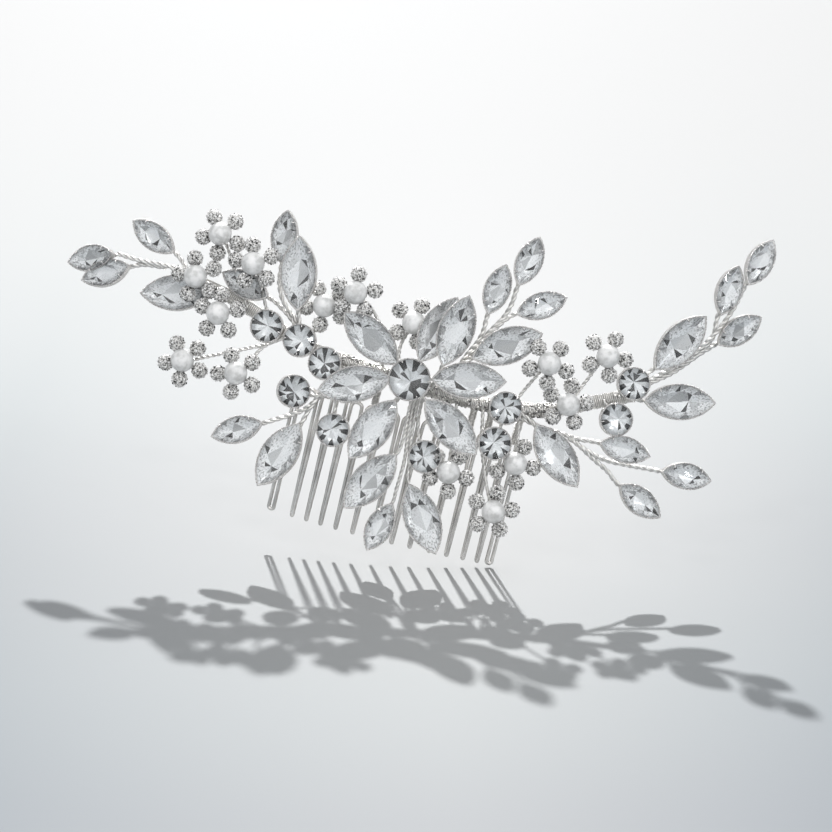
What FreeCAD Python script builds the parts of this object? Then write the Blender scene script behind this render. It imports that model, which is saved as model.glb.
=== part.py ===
import FreeCAD, Part

# Bridal hair comb: a bent-wire comb of hairpin teeth with a sprung metal band lashed on top of it. The band
# carries twisted-wire sprigs that end in navette crystals, round crystals and small flowers of a pearl in
# five pave beads. Millimetres, +Z up, +X along the row of teeth, the decorated face towards -Y.
# The origin is on the centre line of the row of teeth, at the height of the comb's top loops.

import math
import os

import Sketcher
from FreeCAD import Placement, Rotation, Vector

doc = FreeCAD.newDocument("hair_comb")

# ---------------------------------------------------------------- driving dimensions

SIZES = {
    # the whole ornament is bowed in plan to follow the head, and leans back from the teeth
    "arch_radius": (260, "plan radius of the decorated spray"),
    "comb_radius": (100, "plan radius of the row of teeth"),
    "lean_angle": (12, "backward lean of the spray, degrees"),
    "spray_height": (6, "height of the spray's own base line over the origin"),
    "spray_offset": (1.5, "distance of the spray's middle layer in front of the row of teeth"),
    # toothed comb
    "tooth_count": (14, "hairpin teeth"),
    "tooth_pitch": (3.62, "mean distance between teeth along the bow"),
    "tooth_length": (28.8, "from the top loops down to the tips"),
    "tooth_gap": (1.15, "between the centre lines of one tooth's two strands"),
    "tooth_twist": (75, "turn of a tooth's tip about its own axis, degrees"),
    "comb_wire": (0.8, "diameter of the comb's wire"),
    "post_wire": (1.1, "diameter of the posts between comb and band"),
    "post_sleeve": (1.9, "outer diameter of the lashing on a post"),
    # band and stems
    "band_width": (2.6, "width of the flat band"),
    "band_thickness": (0.7, "thickness of the flat band"),
    "band_lift": (-0.8, "height of the band's middle over the spray's middle layer"),
    "wrap_diameter": (3.1, "outer diameter of the wire lashing on the band"),
    "stem_wire": (1.05, "diameter of a twisted stem"),
    "thin_wire": (0.8, "diameter of a thin single stem"),
    # crystals and settings
    "large_length": (15.2, "large navette crystal, point to point"),
    "large_width": (7.2, "large navette crystal, across"),
    "small_length": (10.6, "small navette crystal, point to point"),
    "small_width": (5.2, "small navette crystal, across"),
    "round_diameter": (6.6, "round crystal"),
    "centre_diameter": (8.5, "centre crystal"),
    "setting_rim": (0.3, "wall of a setting round its crystal"),
    "setting_point": (0.4, "extra length of a navette setting at each point"),
    "setting_floor": (0.5, "metal under a crystal"),
    "setting_height": (1.4, "height of a setting's wall"),
    "centre_height": (2.2, "height of the centre setting's wall"),
    "crown_height": (1, "height of a crystal over its setting's wall"),
    "crown_bevel": (0.95, "bevel of a crystal's crown"),
    "crystal_play": (0.03, "clearance between a crystal and its setting"),
    # flowers
    "pearl_diameter": (5, "flower's middle pearl"),
    "bead_diameter": (3.6, "pave bead"),
    "bead_ring": (4.05, "radius of the ring of beads round a pearl"),
    "bead_count": (5, "beads in a flower"),
    "pearl_rise": (1.3, "height of a pearl's middle over the beads' middles"),
    "hub_diameter": (2.2, "middle disc under a pearl"),
    "hub_thickness": (0.7, "thickness of the middle disc"),
    "hub_depth": (1.6, "depth of the disc's underside below the beads' middles"),
    "arm_reach": (3, "reach of a flower frame's arm from the middle"),
    "arm_width": (0.6, "width and thickness of an arm"),
}

sheet = doc.addObject("Spreadsheet::Sheet", "Sizes")
for row, (alias, (value, meaning)) in enumerate(SIZES.items(), start=1):
    sheet.set(f"A{row}", meaning)
    sheet.set(f"B{row}", str(value))
    sheet.setAlias(f"B{row}", alias)
doc.recompute()


def size(alias):
    """Value of one cell of the sheet of sizes."""
    return float(sheet.get(alias))


# ---------------------------------------------------------------- layout of the spray
# The spray is laid out flat and then bowed: "along" is the distance to the right along the bow, "up" the
# distance up the leaning face and "lift" the height over the spray's middle layer. "turn" is the direction
# of a navette's far point, counted anticlockwise from "along", and "tilt" lifts that point.

LAYOUT_COLUMNS = ("along", "up", "turn", "lift", "tilt")

LEAVES = {
    "left_tip_1": ("small", -76.6, 8.3, 204.3, 0.5, -8),
    "left_tip_2": ("small", -72.4, 6.1, 212.6, 0.5, 0),
    "left_tip_3": ("small", -64.4, 16.6, 159.0, 0.5, 6),
    "left_leaf_1": ("large", -56.4, 6.4, 196.2, -1.3, 0),
    "left_leaf_2": ("small", -41.8, 12.1, 167.2, -0.4, 0),
    "left_upright_1": ("small", -36.3, 24.3, 96.4, 0.5, 4),
    "left_upright_2": ("large", -30.8, 17.4, 102.7, 2.6, 5),
    "left_lower_1": ("small", -34.9, -18.1, 210.9, 1.0, 4),
    "left_lower_2": ("large", -25.0, -20.8, 251.0, 1.4, 4),
    "petal_1": ("large", -12.7, 8.1, 150.6, 2.2, 10),
    "petal_2": ("large", -13.6, -2.3, 204.4, 1.6, 4),
    "petal_3": ("large", 0.7, 13.3, 73.1, 0.9, 0),
    "petal_4": ("large", 4.3, 13.9, 83.1, 4.0, 4),
    "petal_5": ("large", 15.6, 13.4, 32.7, 1.2, 2),
    "petal_6": ("large", 9.4, 4.4, 11.3, 2.4, 4),
    "petal_7": ("large", 8.0, -6.1, 326.6, 2.4, 2),
    "petal_8": ("large", -7.6, -10.6, 245.4, 1.6, 4),
    "drop_1": ("large", -5.4, -21.3, 239.8, 1.2, 2),
    "drop_2": ("small", -1.3, -30.1, 255.6, 0.8, 0),
    "drop_3": ("large", 6.8, -26.4, 304.8, 1.2, 3),
    "top_sprig_1": ("small", 10.8, 24.6, 83.5, 0.5, 3),
    "top_sprig_2": ("small", 16.1, 31.9, 79.3, 0.5, 0),
    "top_sprig_3": ("small", 20.9, 23.4, 31.1, 0.5, 3),
    "right_spray_1": ("large", 52.2, 22.2, 57.7, 0.6, 3),
    "right_spray_2": ("large", 54.7, 9.8, 9.4, 0.6, 0),
    "right_spray_3": ("small", 60.8, 35.4, 81.4, 0.5, 2),
    "right_spray_4": ("small", 66.6, 42.6, 70.2, 0.5, -3),
    "right_spray_5": ("small", 64.9, 27.4, 43.4, 0.5, 4),
    "right_lower_1": ("large", 30.9, -7.0, 315.9, 1.6, 4),
    "right_lower_2": ("small", 45.0, -2.6, 356.5, 0.8, 3),
    "right_lower_3": ("small", 59.4, -5.5, 360.3, 0.5, 0),
    "right_lower_4": ("small", 50.6, -12.7, 333.0, 0.5, 3),
}
LEAF_GROUPS = {
    "left_tip": 3,
    "left_leaf": 2,
    "left_upright": 2,
    "left_lower": 2,
    "drop": 3,
    "top_sprig": 3,
    "right_spray": 5,
    "right_lower": 4,
}
PETAL_COUNT = 8

ROUNDS = {
    "left_round_1": (-34.7, 4.8, 0, 0.6, 0),
    "left_round_2": (-27.1, 3.7, 0, 0.9, 0),
    "left_round_3": (-20.7, 0.4, 0, 0.9, 0),
    "left_round_4": (-25.8, -7.0, 0, 1.0, -20),
    "left_round_5": (-15.4, -12.8, 0, 1.6, 0),
    "right_round_1": (18.3, 0.5, 0, 1.0, 0),
    "right_round_2": (17.7, -7.3, 0, 2.8, 4),
    "right_round_3": (43.7, 11.5, 0, 1.6, 0),
    "right_round_4": (41.8, 3.3, 0, 0.8, 0),
    "right_round_5": (4.3, -13.5, 0, 0.6, 0),
}
ROUNDS_PER_SIDE = 5
CENTRE_CRYSTAL = (-2.6, 1.5, 0, 4.4, 0)

# flower: turn is the angle of its first bead
FLOWERS = {
    "left_flower_1": (-49.5, 21.0, 58, 2.2, 0),
    "left_flower_2": (-51.7, 10.8, 41, 3.5, 0),
    "left_flower_3": (-44.8, 4.6, 28, 3.5, 0),
    "left_flower_4": (-49.7, -7.1, 57, 2.2, 0),
    "left_flower_5": (-38.0, -6.6, 51, 2.2, 0),
    "left_flower_6": (-40.3, 16.7, 39, 4.3, 0),
    "left_flower_7": (-24.1, 12.2, 54, -0.4, 0),
    "left_flower_8": (-18.0, 16.4, 24, 2.9, 0),
    "left_flower_9": (-4.8, 13.5, 7, -1.6, 0),
    "right_flower_1": (24.5, 11.6, 63, 5.4, 0),
    "right_flower_2": (36.8, 16.0, 2, 2.2, 0),
    "right_flower_3": (30.7, 4.2, 17, 2.4, 0),
    "right_flower_4": (9.8, -15.5, 67, 0.2, 0),
    "right_flower_5": (22.9, -10.5, 0, 0.6, 0),
    "right_flower_6": (20.5, -21.4, 17, 2.2, 0),
}
LEFT_FLOWERS = 9
RIGHT_FLOWERS = 6

layout = doc.addObject("Spreadsheet::Sheet", "Layout")
PLACES = {name: values[1:] for name, values in LEAVES.items()}
PLACES.update(ROUNDS)
PLACES.update(FLOWERS)
PLACES["centre"] = CENTRE_CRYSTAL
for row, (name, values) in enumerate(PLACES.items(), start=1):
    layout.set(f"A{row}", name)
    for column, field, value in zip("BCDEF", LAYOUT_COLUMNS, values):
        layout.set(f"{column}{row}", str(value))
        layout.setAlias(f"{column}{row}", f"{name}_{field}")
doc.recompute()


def spray_frame(along):
    """Placement of the spray's face at one distance along its bow: X along, Y up the face, Z outwards."""
    radius = size("arch_radius")
    turn = Rotation(Vector(0, 0, 1), math.degrees(along / radius))
    bow = Placement(Vector(0, radius, size("spray_height")), turn)
    face = Rotation(Vector(1, 0, 0), 90 - size("lean_angle"))
    return bow * Placement(Vector(0, -radius - size("spray_offset"), 0), face)


def spray_point(along, up, lift=0.0):
    """Point of the spray in the part's frame."""
    return spray_frame(along).multVec(Vector(0, up, lift))


def place_of(name):
    """Placement of one named stone or flower of the layout sheet."""
    along, up, turn, lift, tilt = (float(layout.get(f"{name}_{field}")) for field in LAYOUT_COLUMNS)
    flat = Placement(Vector(0, up, lift), Rotation(Vector(0, 0, 1), turn))
    return spray_frame(along) * flat * Placement(Vector(), Rotation(Vector(0, 1, 0), -tilt))


# ---------------------------------------------------------------- document helpers

NODES = []


def node(obj, label):
    """Gives a finished sub-part its own label and lists it for export."""
    obj.Label = label
    NODES.append(obj)
    return obj


def group(label, parts):
    """One sub-part made of several separate solids."""
    compound = doc.addObject("Part::Compound", label)
    compound.Links = parts
    return node(compound, label)


def feature(label, shape):
    """Sub-part whose shape is computed here from the sheet's sizes."""
    obj = doc.addObject("Part::Feature", label)
    obj.Shape = shape
    obj.Placement = Placement()
    return node(obj, label)


def origin_part(body, role):
    """Origin plane or axis of a body, by its role."""
    return next(part for part in body.Origin.OriginFeatures if part.Role == role)


def new_sketch(body, name):
    """Sketch on the body's own XY plane."""
    sketch = body.newObject("Sketcher::SketchObject", name)
    sketch.AttachmentSupport = [(origin_part(body, "XY_Plane"), "")]
    sketch.MapMode = "FlatFace"
    return sketch


def pad(body, sketch, name, length):
    """Pad of a sketch by a length given as an expression."""
    feature_pad = body.newObject("PartDesign::Pad", name)
    feature_pad.Profile = sketch
    feature_pad.setExpression("Length", length)
    sketch.Visibility = False
    return feature_pad


# ---------------------------------------------------------------- outlines

def draw_circle(sketch, diameter):
    """Circle about the origin, its diameter bound to an expression."""
    index = sketch.addGeometry(Part.Circle(Vector(), Vector(0, 0, 1), 1), False)
    sketch.addConstraint(Sketcher.Constraint("Coincident", index, 3, -1, 1))
    radius = sketch.addConstraint(Sketcher.Constraint("Radius", index, 1))
    sketch.setExpression(f"Constraints[{radius}]", f"({diameter}) / 2")


def draw_navette(sketch, length, width):
    """Pointed oval of two equal arcs about the origin, points on the X axis."""
    start_length, start_width = 10.0, 5.0
    points = Vector(-start_length / 2, 0, 0), Vector(start_length / 2, 0, 0)
    upper = sketch.addGeometry(Part.Arc(points[1], Vector(0, start_width / 2, 0), points[0]), False)
    lower = sketch.addGeometry(Part.Arc(points[0], Vector(0, -start_width / 2, 0), points[1]), False)
    rules = [
        ("Coincident", upper, 1, lower, 2),
        ("Coincident", upper, 2, lower, 1),
        ("Symmetric", upper, 1, upper, 2, -1, 1),
        ("PointOnObject", upper, 1, -1),
        ("Equal", upper, lower),
    ]
    for rule in rules:
        sketch.addConstraint(Sketcher.Constraint(*rule))
    span = sketch.addConstraint(Sketcher.Constraint("DistanceX", upper, 2, upper, 1, start_length))
    radius_now = (start_length**2 + start_width**2) / (4 * start_width)
    radius = sketch.addConstraint(Sketcher.Constraint("Radius", upper, radius_now))
    sketch.setExpression(f"Constraints[{span}]", length)
    sketch.setExpression(f"Constraints[{radius}]", f"(({length})^2 + ({width})^2) / (4 * ({width}))")


def outline(sketch, kind, play, point):
    """Outline of a crystal of one kind, grown by play on each side and by point at a navette's ends."""
    if kind in ("large", "small"):
        grown = f"Sizes.{kind}_length + 2 * ({play}) + 2 * ({point})", f"Sizes.{kind}_width + 2 * ({play})"
        draw_navette(sketch, *grown)
    else:
        draw_circle(sketch, f"Sizes.{kind}_diameter + 2 * ({play})")


# cell that holds the height of the setting's wall, for each kind of crystal
WALL = {"large": "setting_height", "small": "setting_height", "round": "setting_height"}
WALL["centre"] = "centre_height"


# ---------------------------------------------------------------- crystals and settings

def crystal(name, kind, place):
    """Foil-backed crystal on its setting's floor: a slab of the crystal's outline with a bevelled crown."""
    body = doc.addObject("PartDesign::Body", name)
    sketch = new_sketch(body, f"{name}_outline")
    outline(sketch, kind, "0", "0")
    sketch.AttachmentOffset = Placement(Vector(0, 0, size("setting_floor")), Rotation())
    depth = f"Sizes.{WALL[kind]} - Sizes.setting_floor + Sizes.crown_height"
    slab = pad(body, sketch, f"{name}_slab", depth)
    doc.recompute()
    top = max(face.CenterOfMass.z for face in slab.Shape.Faces)
    edges = [f"Edge{i}" for i, edge in enumerate(slab.Shape.Edges, 1) if edge.BoundBox.ZMin > top - 1e-3]
    crown = body.newObject("PartDesign::Chamfer", f"{name}_crown")
    crown.Base = (slab, edges)
    crown.setExpression("Size", "Sizes.crown_bevel")
    body.Tip = crown
    body.Placement = place
    return body


def setting(name, kind, place):
    """Metal cup: a floor of the outer outline and a wall that stands round the crystal."""
    body = doc.addObject("PartDesign::Body", name)
    point = "Sizes.setting_point - Sizes.setting_rim"
    base = new_sketch(body, f"{name}_base")
    outline(base, kind, "Sizes.setting_rim", point)
    pad(body, base, f"{name}_floor", "Sizes.setting_floor")
    ring = new_sketch(body, f"{name}_ring")
    outline(ring, kind, "Sizes.setting_rim", point)
    outline(ring, kind, "Sizes.crystal_play", "0")
    wall = pad(body, ring, f"{name}_wall", f"Sizes.{WALL[kind]}")
    body.Tip = wall
    body.Placement = place
    return body


# ---------------------------------------------------------------- flowers

def pearl(name, place):
    """Round pearl in the middle of a flower."""
    ball = doc.addObject("Part::Sphere", name)
    ball.setExpression("Radius", "Sizes.pearl_diameter / 2")
    ball.Placement = place * Placement(Vector(0, 0, size("pearl_rise")), Rotation())
    return ball


def beads(name, place):
    """Pave beads of one flower, evenly round its pearl."""
    balls = []
    for i in range(int(size("bead_count"))):
        ball = doc.addObject("Part::Sphere", f"{name}_bead_{i + 1}")
        ball.setExpression("Radius", "Sizes.bead_diameter / 2")
        spoke = Rotation(Vector(0, 0, 1), 360 * i / size("bead_count"))
        ball.Placement = place * Placement(spoke.multVec(Vector(size("bead_ring"), 0, 0)), spoke)
        balls.append(ball)
    return balls


def flower_frame(name, place):
    """Star of flat arms with a disc in the middle, under the beads and the pearl."""
    body = doc.addObject("PartDesign::Body", name)
    under = Placement(Vector(0, 0, -size("hub_depth")), Rotation())
    disc = new_sketch(body, f"{name}_disc")
    draw_circle(disc, "Sizes.hub_diameter")
    pad(body, disc, f"{name}_hub", "Sizes.hub_thickness")
    spoke = new_sketch(body, f"{name}_spoke")
    draw_bar(spoke, "Sizes.arm_reach", "Sizes.arm_width")
    arm = pad(body, spoke, f"{name}_arm", "Sizes.arm_width")
    star = body.newObject("PartDesign::PolarPattern", f"{name}_star")
    star.Originals = [arm]
    star.Axis = (origin_part(body, "Z_Axis"), [""])
    star.Angle = 360
    star.setExpression("Occurrences", "Sizes.bead_count")
    body.Tip = star
    body.Placement = place * under
    return body


def draw_bar(sketch, length, width):
    """Rectangle from the origin along +X, centred on the X axis."""
    corners = [Vector(0, -1, 0), Vector(3, -1, 0), Vector(3, 1, 0), Vector(0, 1, 0)]
    sides = [sketch.addGeometry(Part.LineSegment(corners[i - 1], corners[i]), False) for i in (1, 2, 3, 0)]
    for i in range(4):
        sketch.addConstraint(Sketcher.Constraint("Coincident", sides[i], 2, sides[(i + 1) % 4], 1))
    sketch.addConstraint(Sketcher.Constraint("Horizontal", sides[0]))
    sketch.addConstraint(Sketcher.Constraint("Horizontal", sides[2]))
    sketch.addConstraint(Sketcher.Constraint("Vertical", sides[1]))
    sketch.addConstraint(Sketcher.Constraint("Symmetric", sides[3], 1, sides[3], 2, -1, 1))
    span = sketch.addConstraint(Sketcher.Constraint("DistanceX", sides[0], 1, sides[0], 2, 3))
    height = sketch.addConstraint(Sketcher.Constraint("DistanceY", sides[1], 1, sides[1], 2, 2))
    sketch.setExpression(f"Constraints[{span}]", length)
    sketch.setExpression(f"Constraints[{height}]", width)


# ---------------------------------------------------------------- wires

def rounded_path(points):
    """Path of straight runs joined by tangent arcs, each as large as its two runs allow."""
    share = 0.45
    edges = []
    start = points[0]
    for before, corner, after in zip(points, points[1:], points[2:]):
        back, ahead = before - corner, after - corner
        trim = share * min(back.Length, ahead.Length)
        back.normalize()
        ahead.normalize()
        half = back.getAngle(ahead) / 2
        radius = trim * math.tan(half)
        inward = (back + ahead).normalize()
        middle = corner + inward * (radius / math.sin(half) - radius)
        edges.append(Part.LineSegment(start, corner + back * trim).toShape())
        edges.append(Part.Arc(corner + back * trim, middle, corner + ahead * trim).toShape())
        start = corner + ahead * trim
    edges.append(Part.LineSegment(start, points[-1]).toShape())
    return Part.Wire(edges)


def tube(points, diameter):
    """Round wire along a rounded path."""
    path = rounded_path(points)
    direction = points[1] - points[0]
    section = Part.Wire([Part.Circle(points[0], direction, diameter / 2).toShape()])
    solid = path.makePipeShell([section], True, False)
    expected = math.pi * diameter**2 / 4 * path.Length
    if not solid.isValid() or abs(solid.Volume / expected - 1) > 0.03:
        raise RuntimeError(f"wire from {points[0]}: volume {solid.Volume:.2f}, not {expected:.2f}")
    return solid


def spray_route(places, target, diameter):
    """Points of a stem, which rises evenly and then runs on under the stone or flower it carries."""
    under = place_of(target)
    if target in LEAVES:
        reach = size(f"{LEAVES[target][0]}_length") / 2
        ends = [(-reach - 1.2, -diameter / 2), (2.5 - reach, -diameter / 2)]
    elif target in FLOWERS:
        ends = [(0, -size("hub_depth") - diameter / 2)]
    else:
        ends = [(0, -diameter / 2)]
    last = [under.multVec(Vector(x, 0, z)) for x, z in ends]
    rise = float(layout.get(f"{target}_lift")) + ends[0][1]
    if len(ends) == 2:
        rise -= reach * math.sin(math.radians(float(layout.get(f"{target}_tilt"))))
    steps = len(places)
    return [spray_point(along, up, rise * i / steps) for i, (along, up) in enumerate(places)] + last


STEMS = {
    "left_upper_stems": {
        "left_tip_1": [(-49.1, 9.6), (-55.1, 11.3), (-60.1, 11.4), (-65.6, 10.8), (-69.5, 10.8)],
        "left_tip_2": [(-60.1, 11.0), (-64.7, 10.4)],
        "left_tip_3": [(-51.8, 10.5), (-55.5, 11.8)],
        "left_leaf_1": [(-42.4, 8.0), (-46.2, 8.6)],
    },
    "left_leaf_stems": {
        "left_leaf_2": [(-26.9, 4.4), (-30.8, 8.2)],
        "left_upright_1": [(-25.5, 4.2), (-29.3, 7.8), (-33.3, 10.9), (-35.1, 14.3)],
        "left_upright_2": [(-26.4, 3.8), (-28.1, 6.8)],
    },
    "left_flower_stems": {
        "left_flower_1": [(-40.1, 7.4), (-43.3, 12.0), (-46.5, 16.5)],
        "left_flower_2": [(-46.2, 9.1)],
        "left_flower_3": [(-41.0, 7.3)],
        "left_flower_4": [(-29.9, 4.2), (-33.9, 1.1), (-39.8, -1.9), (-45.7, -4.9)],
        "left_flower_5": [(-30.9, 3.3), (-34.5, 0.7), (-36.3, -2.8)],
        "left_flower_6": [(-35.7, 7.7), (-38.0, 12.0)],
        "left_flower_7": [(-25.0, 3.2), (-25.3, 7.2)],
        "left_flower_8": [(-9.0, 3.0), (-10.5, 10.0), (-13.9, 14.2)],
        "left_flower_9": [(-5.0, 2.5), (-6.8, 7.6)],
    },
    "left_lower_stems": {
        "left_lower_1": [(-17.5, 1.6), (-19.3, -4.9), (-22.0, -9.9), (-26.2, -12.8)],
        "left_lower_2": [(-18.2, 1.6), (-20.1, -5.9), (-21.8, -10.4)],
        "left_round_4": [(-17.1, -5.9), (-21.1, -6.9)],
        "left_round_5": [(-16.0, 1.6), (-16.7, -6.4)],
    },
    "petal_stems": {
        "petal_1": [(-2.8, 0.9), (-4.2, 2.6)],
        "petal_2": [(-3.2, 0.9), (-4.4, 1.2)],
        "petal_3": [(-3.2, 0.9), (-2.8, 2.8)],
        "petal_4": [(2.2, 0.6), (2.6, 2.8)],
        "petal_5": [(3.6, 0.4), (5.8, 5.0)],
        "petal_6": [(-2.6, 0.8), (-0.6, 1.8)],
        "petal_7": [(-3.0, 1.0), (-1.0, -0.4)],
        "petal_8": [(-2.6, 0.8), (-3.2, -1.2)],
    },
    "centre_drop_stems": {
        "drop_1": [(-1.3, 0.8), (-1.3, -4.0), (-0.9, -9.6)],
        "drop_2": [(-0.6, 0.8), (-0.5, -8.0), (0.5, -15.5), (0.2, -21.5)],
        "drop_3": [(0.1, 0.7), (0.2, -6.0), (0.8, -12.5), (1.6, -16.4)],
        "right_round_5": [(0.9, 0.6), (1.1, -8.0)],
    },
    "top_sprig_stems": {
        "top_sprig_1": [(5.6, 0.4), (7.0, 8.0), (9.6, 13.0), (10.2, 15.8)],
        "top_sprig_2": [(6.4, 0.4), (7.8, 8.4), (11.0, 15.0), (13.9, 19.4), (14.8, 23.0)],
        "top_sprig_3": [(9.0, 9.5), (11.5, 15.0), (13.9, 18.6)],
    },
    "right_upper_stems": {
        "right_spray_1": [(40.5, 8.2), (44.7, 11.5)],
        "right_spray_2": [(41.5, 8.5), (44.0, 8.7)],
        "right_spray_3": [(42.4, 9.3), (47.6, 12.2), (52.6, 15.7), (57.5, 20.8), (60.0, 24.8)],
        "right_spray_4": [(43.3, 10.5), (48.0, 13.2), (56.2, 20.2), (60.5, 26.4), (63.1, 31.8)],
        "right_spray_5": [(53.5, 17.3), (57.1, 20.4)],
        "right_round_4": [(38.6, 6.8), (40.2, 5.2)],
    },
    "right_lower_stems": {
        "right_lower_1": [(17.1, 0.5), (21.0, 0.5)],
        "right_lower_2": [(18.1, 0.3), (24.1, -1.4), (31.0, -2.1), (34.9, -2.6)],
        "right_lower_3": [(33.0, -2.7), (38.9, -5.1), (42.8, -5.8), (47.6, -5.7)],
        "right_lower_4": [(33.6, -2.5), (38.5, -5.6), (42.8, -7.8)],
        "right_round_2": [(18.5, 0.5), (18.3, -2.9)],
    },
    "right_flower_stems": {
        "right_flower_1": [(19.5, 1.1), (22.0, 6.6)],
        "right_flower_2": [(31.4, 3.9), (33.7, 9.3)],
        "right_flower_3": [(26.0, 1.8), (28.4, 3.0)],
        "right_flower_4": [(8.0, 0.2), (9.1, -7.0)],
        "right_flower_5": [(21.5, 0.9), (22.5, -4.9)],
        "right_flower_6": [(13.7, 0.3), (15.1, -7.9), (17.8, -15.4)],
    },
}

# the flat band from its left to its right end, and the first and last of these places under the lashing
BAND_ROUTE = [(-52.6, 10.1), (-46.1, 9.2), (-39.4, 7.4), (-32.7, 5), (-25.9, 3), (-18, 2)]
BAND_ROUTE += [(-8, 1.2), (3, 0.5), (13, 0.1), (21, 0.6), (28.8, 2.4), (36.6, 5.8), (45.1, 9.3)]
WRAP_FIRST, WRAP_LAST = 5, 10


def band():
    """Flat sprung band through the whole ornament, lofted between straight sections."""
    half_width, half_depth = size("band_width") / 2, size("band_thickness") / 2
    sections = []
    for i, (along, up) in enumerate(BAND_ROUTE):
        before, after = BAND_ROUTE[max(i - 1, 0)], BAND_ROUTE[min(i + 1, len(BAND_ROUTE) - 1)]
        slope = math.degrees(math.atan2(after[1] - before[1], after[0] - before[0]))
        flat = Placement(Vector(0, up, size("band_lift")), Rotation(Vector(0, 0, 1), slope))
        signs = [(-1, -1), (1, -1), (1, 1), (-1, 1)]
        corners = [Vector(0, y * half_width, z * half_depth) for y, z in signs]
        points = [(spray_frame(along) * flat).multVec(corner) for corner in corners]
        sections.append(Part.makePolygon(points + points[:1]))
    return Part.makeLoft(sections, True, True)


def band_wrap():
    """Wire lashing wound round the middle of the band, as one sleeve."""
    lashed = BAND_ROUTE[WRAP_FIRST:WRAP_LAST + 1]
    points = [spray_point(along, up, size("band_lift")) for along, up in lashed]
    return tube(points, size("wrap_diameter"))


# ---------------------------------------------------------------- toothed comb

def comb_point(along, z):
    """Point of the row of teeth at one distance along its bow."""
    radius = size("comb_radius")
    return Vector(radius * math.sin(along / radius), radius * (1 - math.cos(along / radius)), z)


# teeth bent by hand do not stand quite evenly: how far each stands from its place in an even row
TOOTH_SHIFTS = [-2.0, -0.66, -0.98, -1.35, -1.54, -1.35, -0.6, 0.1, 0.5, 1.2, 1.45, 1.5, 1.08, 0.17]


def tooth_place(i):
    """Distance along the bow of one tooth, counted from zero at the left."""
    return (i - (size("tooth_count") - 1) / 2) * size("tooth_pitch") + TOOTH_SHIFTS[i]


def comb():
    """One continuous wire bent into hairpin teeth that are joined by round loops at the top.

    Every tooth but the two outer ones is turned on its own axis, so its strands end one behind the other.
    """
    half_gap = size("tooth_gap") / 2
    top, bottom = -size("comb_wire") / 2, size("comb_wire") / 2 - size("tooth_length")
    last = int(size("tooth_count")) - 1
    points = []
    for i in range(last + 1):
        twist = math.radians(size("tooth_twist") if 0 < i < last else 0)
        aside, behind = half_gap * math.cos(twist), Vector(0, half_gap * math.sin(twist), 0)
        along = tooth_place(i)
        points.append(comb_point(along - half_gap, top))
        points.append(comb_point(along - aside, bottom) + behind)
        points.append(comb_point(along + aside, bottom) - behind)
        points.append(comb_point(along + half_gap, top))
    return tube(points, size("comb_wire"))


# top loops that are tied to the band, counted from zero at the left
POST_LOOPS = (1, 2, 4, 6, 9, 10, 12)


def post_ends(loop):
    """Upper end of a post on the band and lower end inside its top loop."""
    along = (tooth_place(loop) + tooth_place(loop + 1)) / 2
    up = next(
        b + (along - a) * (d - b) / (c - a)
        for (a, b), (c, d) in zip(BAND_ROUTE, BAND_ROUTE[1:])
        if a <= along <= c
    )
    inside = -1.6 * size("comb_wire")
    return spray_point(along, up, size("band_lift")), comb_point(along, inside)


def rod(start, end, diameter):
    """Straight round rod between two points."""
    return Part.makeCylinder(diameter / 2, (end - start).Length, start, end - start)


def posts():
    """Straight wires that carry the band on the comb's loops."""
    ends = [post_ends(loop) for loop in POST_LOOPS]
    return Part.makeCompound([rod(upper, lower, size("post_wire")) for upper, lower in ends])


def post_lashing():
    """Fine wire wound round each post, as one sleeve with a post's bore."""
    sleeves = []
    for loop in POST_LOOPS:
        upper, lower = post_ends(loop)
        span = lower - upper
        start, end = upper + span * 0.3, upper + span * 0.92
        sleeves.append(rod(start, end, size("post_sleeve")).cut(rod(upper, lower, size("post_wire"))))
    return Part.makeCompound(sleeves)


# ---------------------------------------------------------------- assembly

def numbered(prefix, count):
    """Names prefix_1 to prefix_count."""
    return [f"{prefix}_{i}" for i in range(1, count + 1)]


feature("comb_wire", comb())
feature("comb_posts", posts())
feature("post_lashing", post_lashing())
feature("band", band())
feature("band_wrap", band_wrap())

for label, routes in STEMS.items():
    wires = []
    for target, places in routes.items():
        thin = target in FLOWERS or target in ROUNDS or target.startswith("drop")
        diameter = size("thin_wire" if thin else "stem_wire")
        wires.append(tube(spray_route(places, target, diameter), diameter))
    feature(label, Part.makeCompound(wires))

for i, name in enumerate(numbered("petal", PETAL_COUNT), start=1):
    node(crystal(f"petal_crystal_{i}", LEAVES[name][0], place_of(name)), f"petal_crystal_{i}")
    node(setting(f"petal_setting_{i}", LEAVES[name][0], place_of(name)), f"petal_setting_{i}")
node(crystal("centre_crystal", "centre", place_of("centre")), "centre_crystal")
node(setting("centre_setting", "centre", place_of("centre")), "centre_setting")

for prefix, count in LEAF_GROUPS.items():
    kinds = {name: LEAVES[name][0] for name in numbered(prefix, count)}
    group(f"{prefix}_crystals", [crystal(f"{n}_crystal", kind, place_of(n)) for n, kind in kinds.items()])
    group(f"{prefix}_settings", [setting(f"{n}_setting", kind, place_of(n)) for n, kind in kinds.items()])

for side in ("left", "right"):
    names = numbered(f"{side}_round", ROUNDS_PER_SIDE)
    group(f"{side}_round_crystals", [crystal(f"{name}_crystal", "round", place_of(name)) for name in names])
    group(f"{side}_round_settings", [setting(f"{name}_setting", "round", place_of(name)) for name in names])

for side, count in (("left", LEFT_FLOWERS), ("right", RIGHT_FLOWERS)):
    names = numbered(f"{side}_flower", count)
    group(f"{side}_pearls", [pearl(f"{name}_pearl", place_of(name)) for name in names])
    group(f"{side}_flower_beads", [ball for name in names for ball in beads(name, place_of(name))])
    group(f"{side}_flower_frames", [flower_frame(f"{name}_frame", place_of(name)) for name in names])

doc.recompute()

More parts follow.
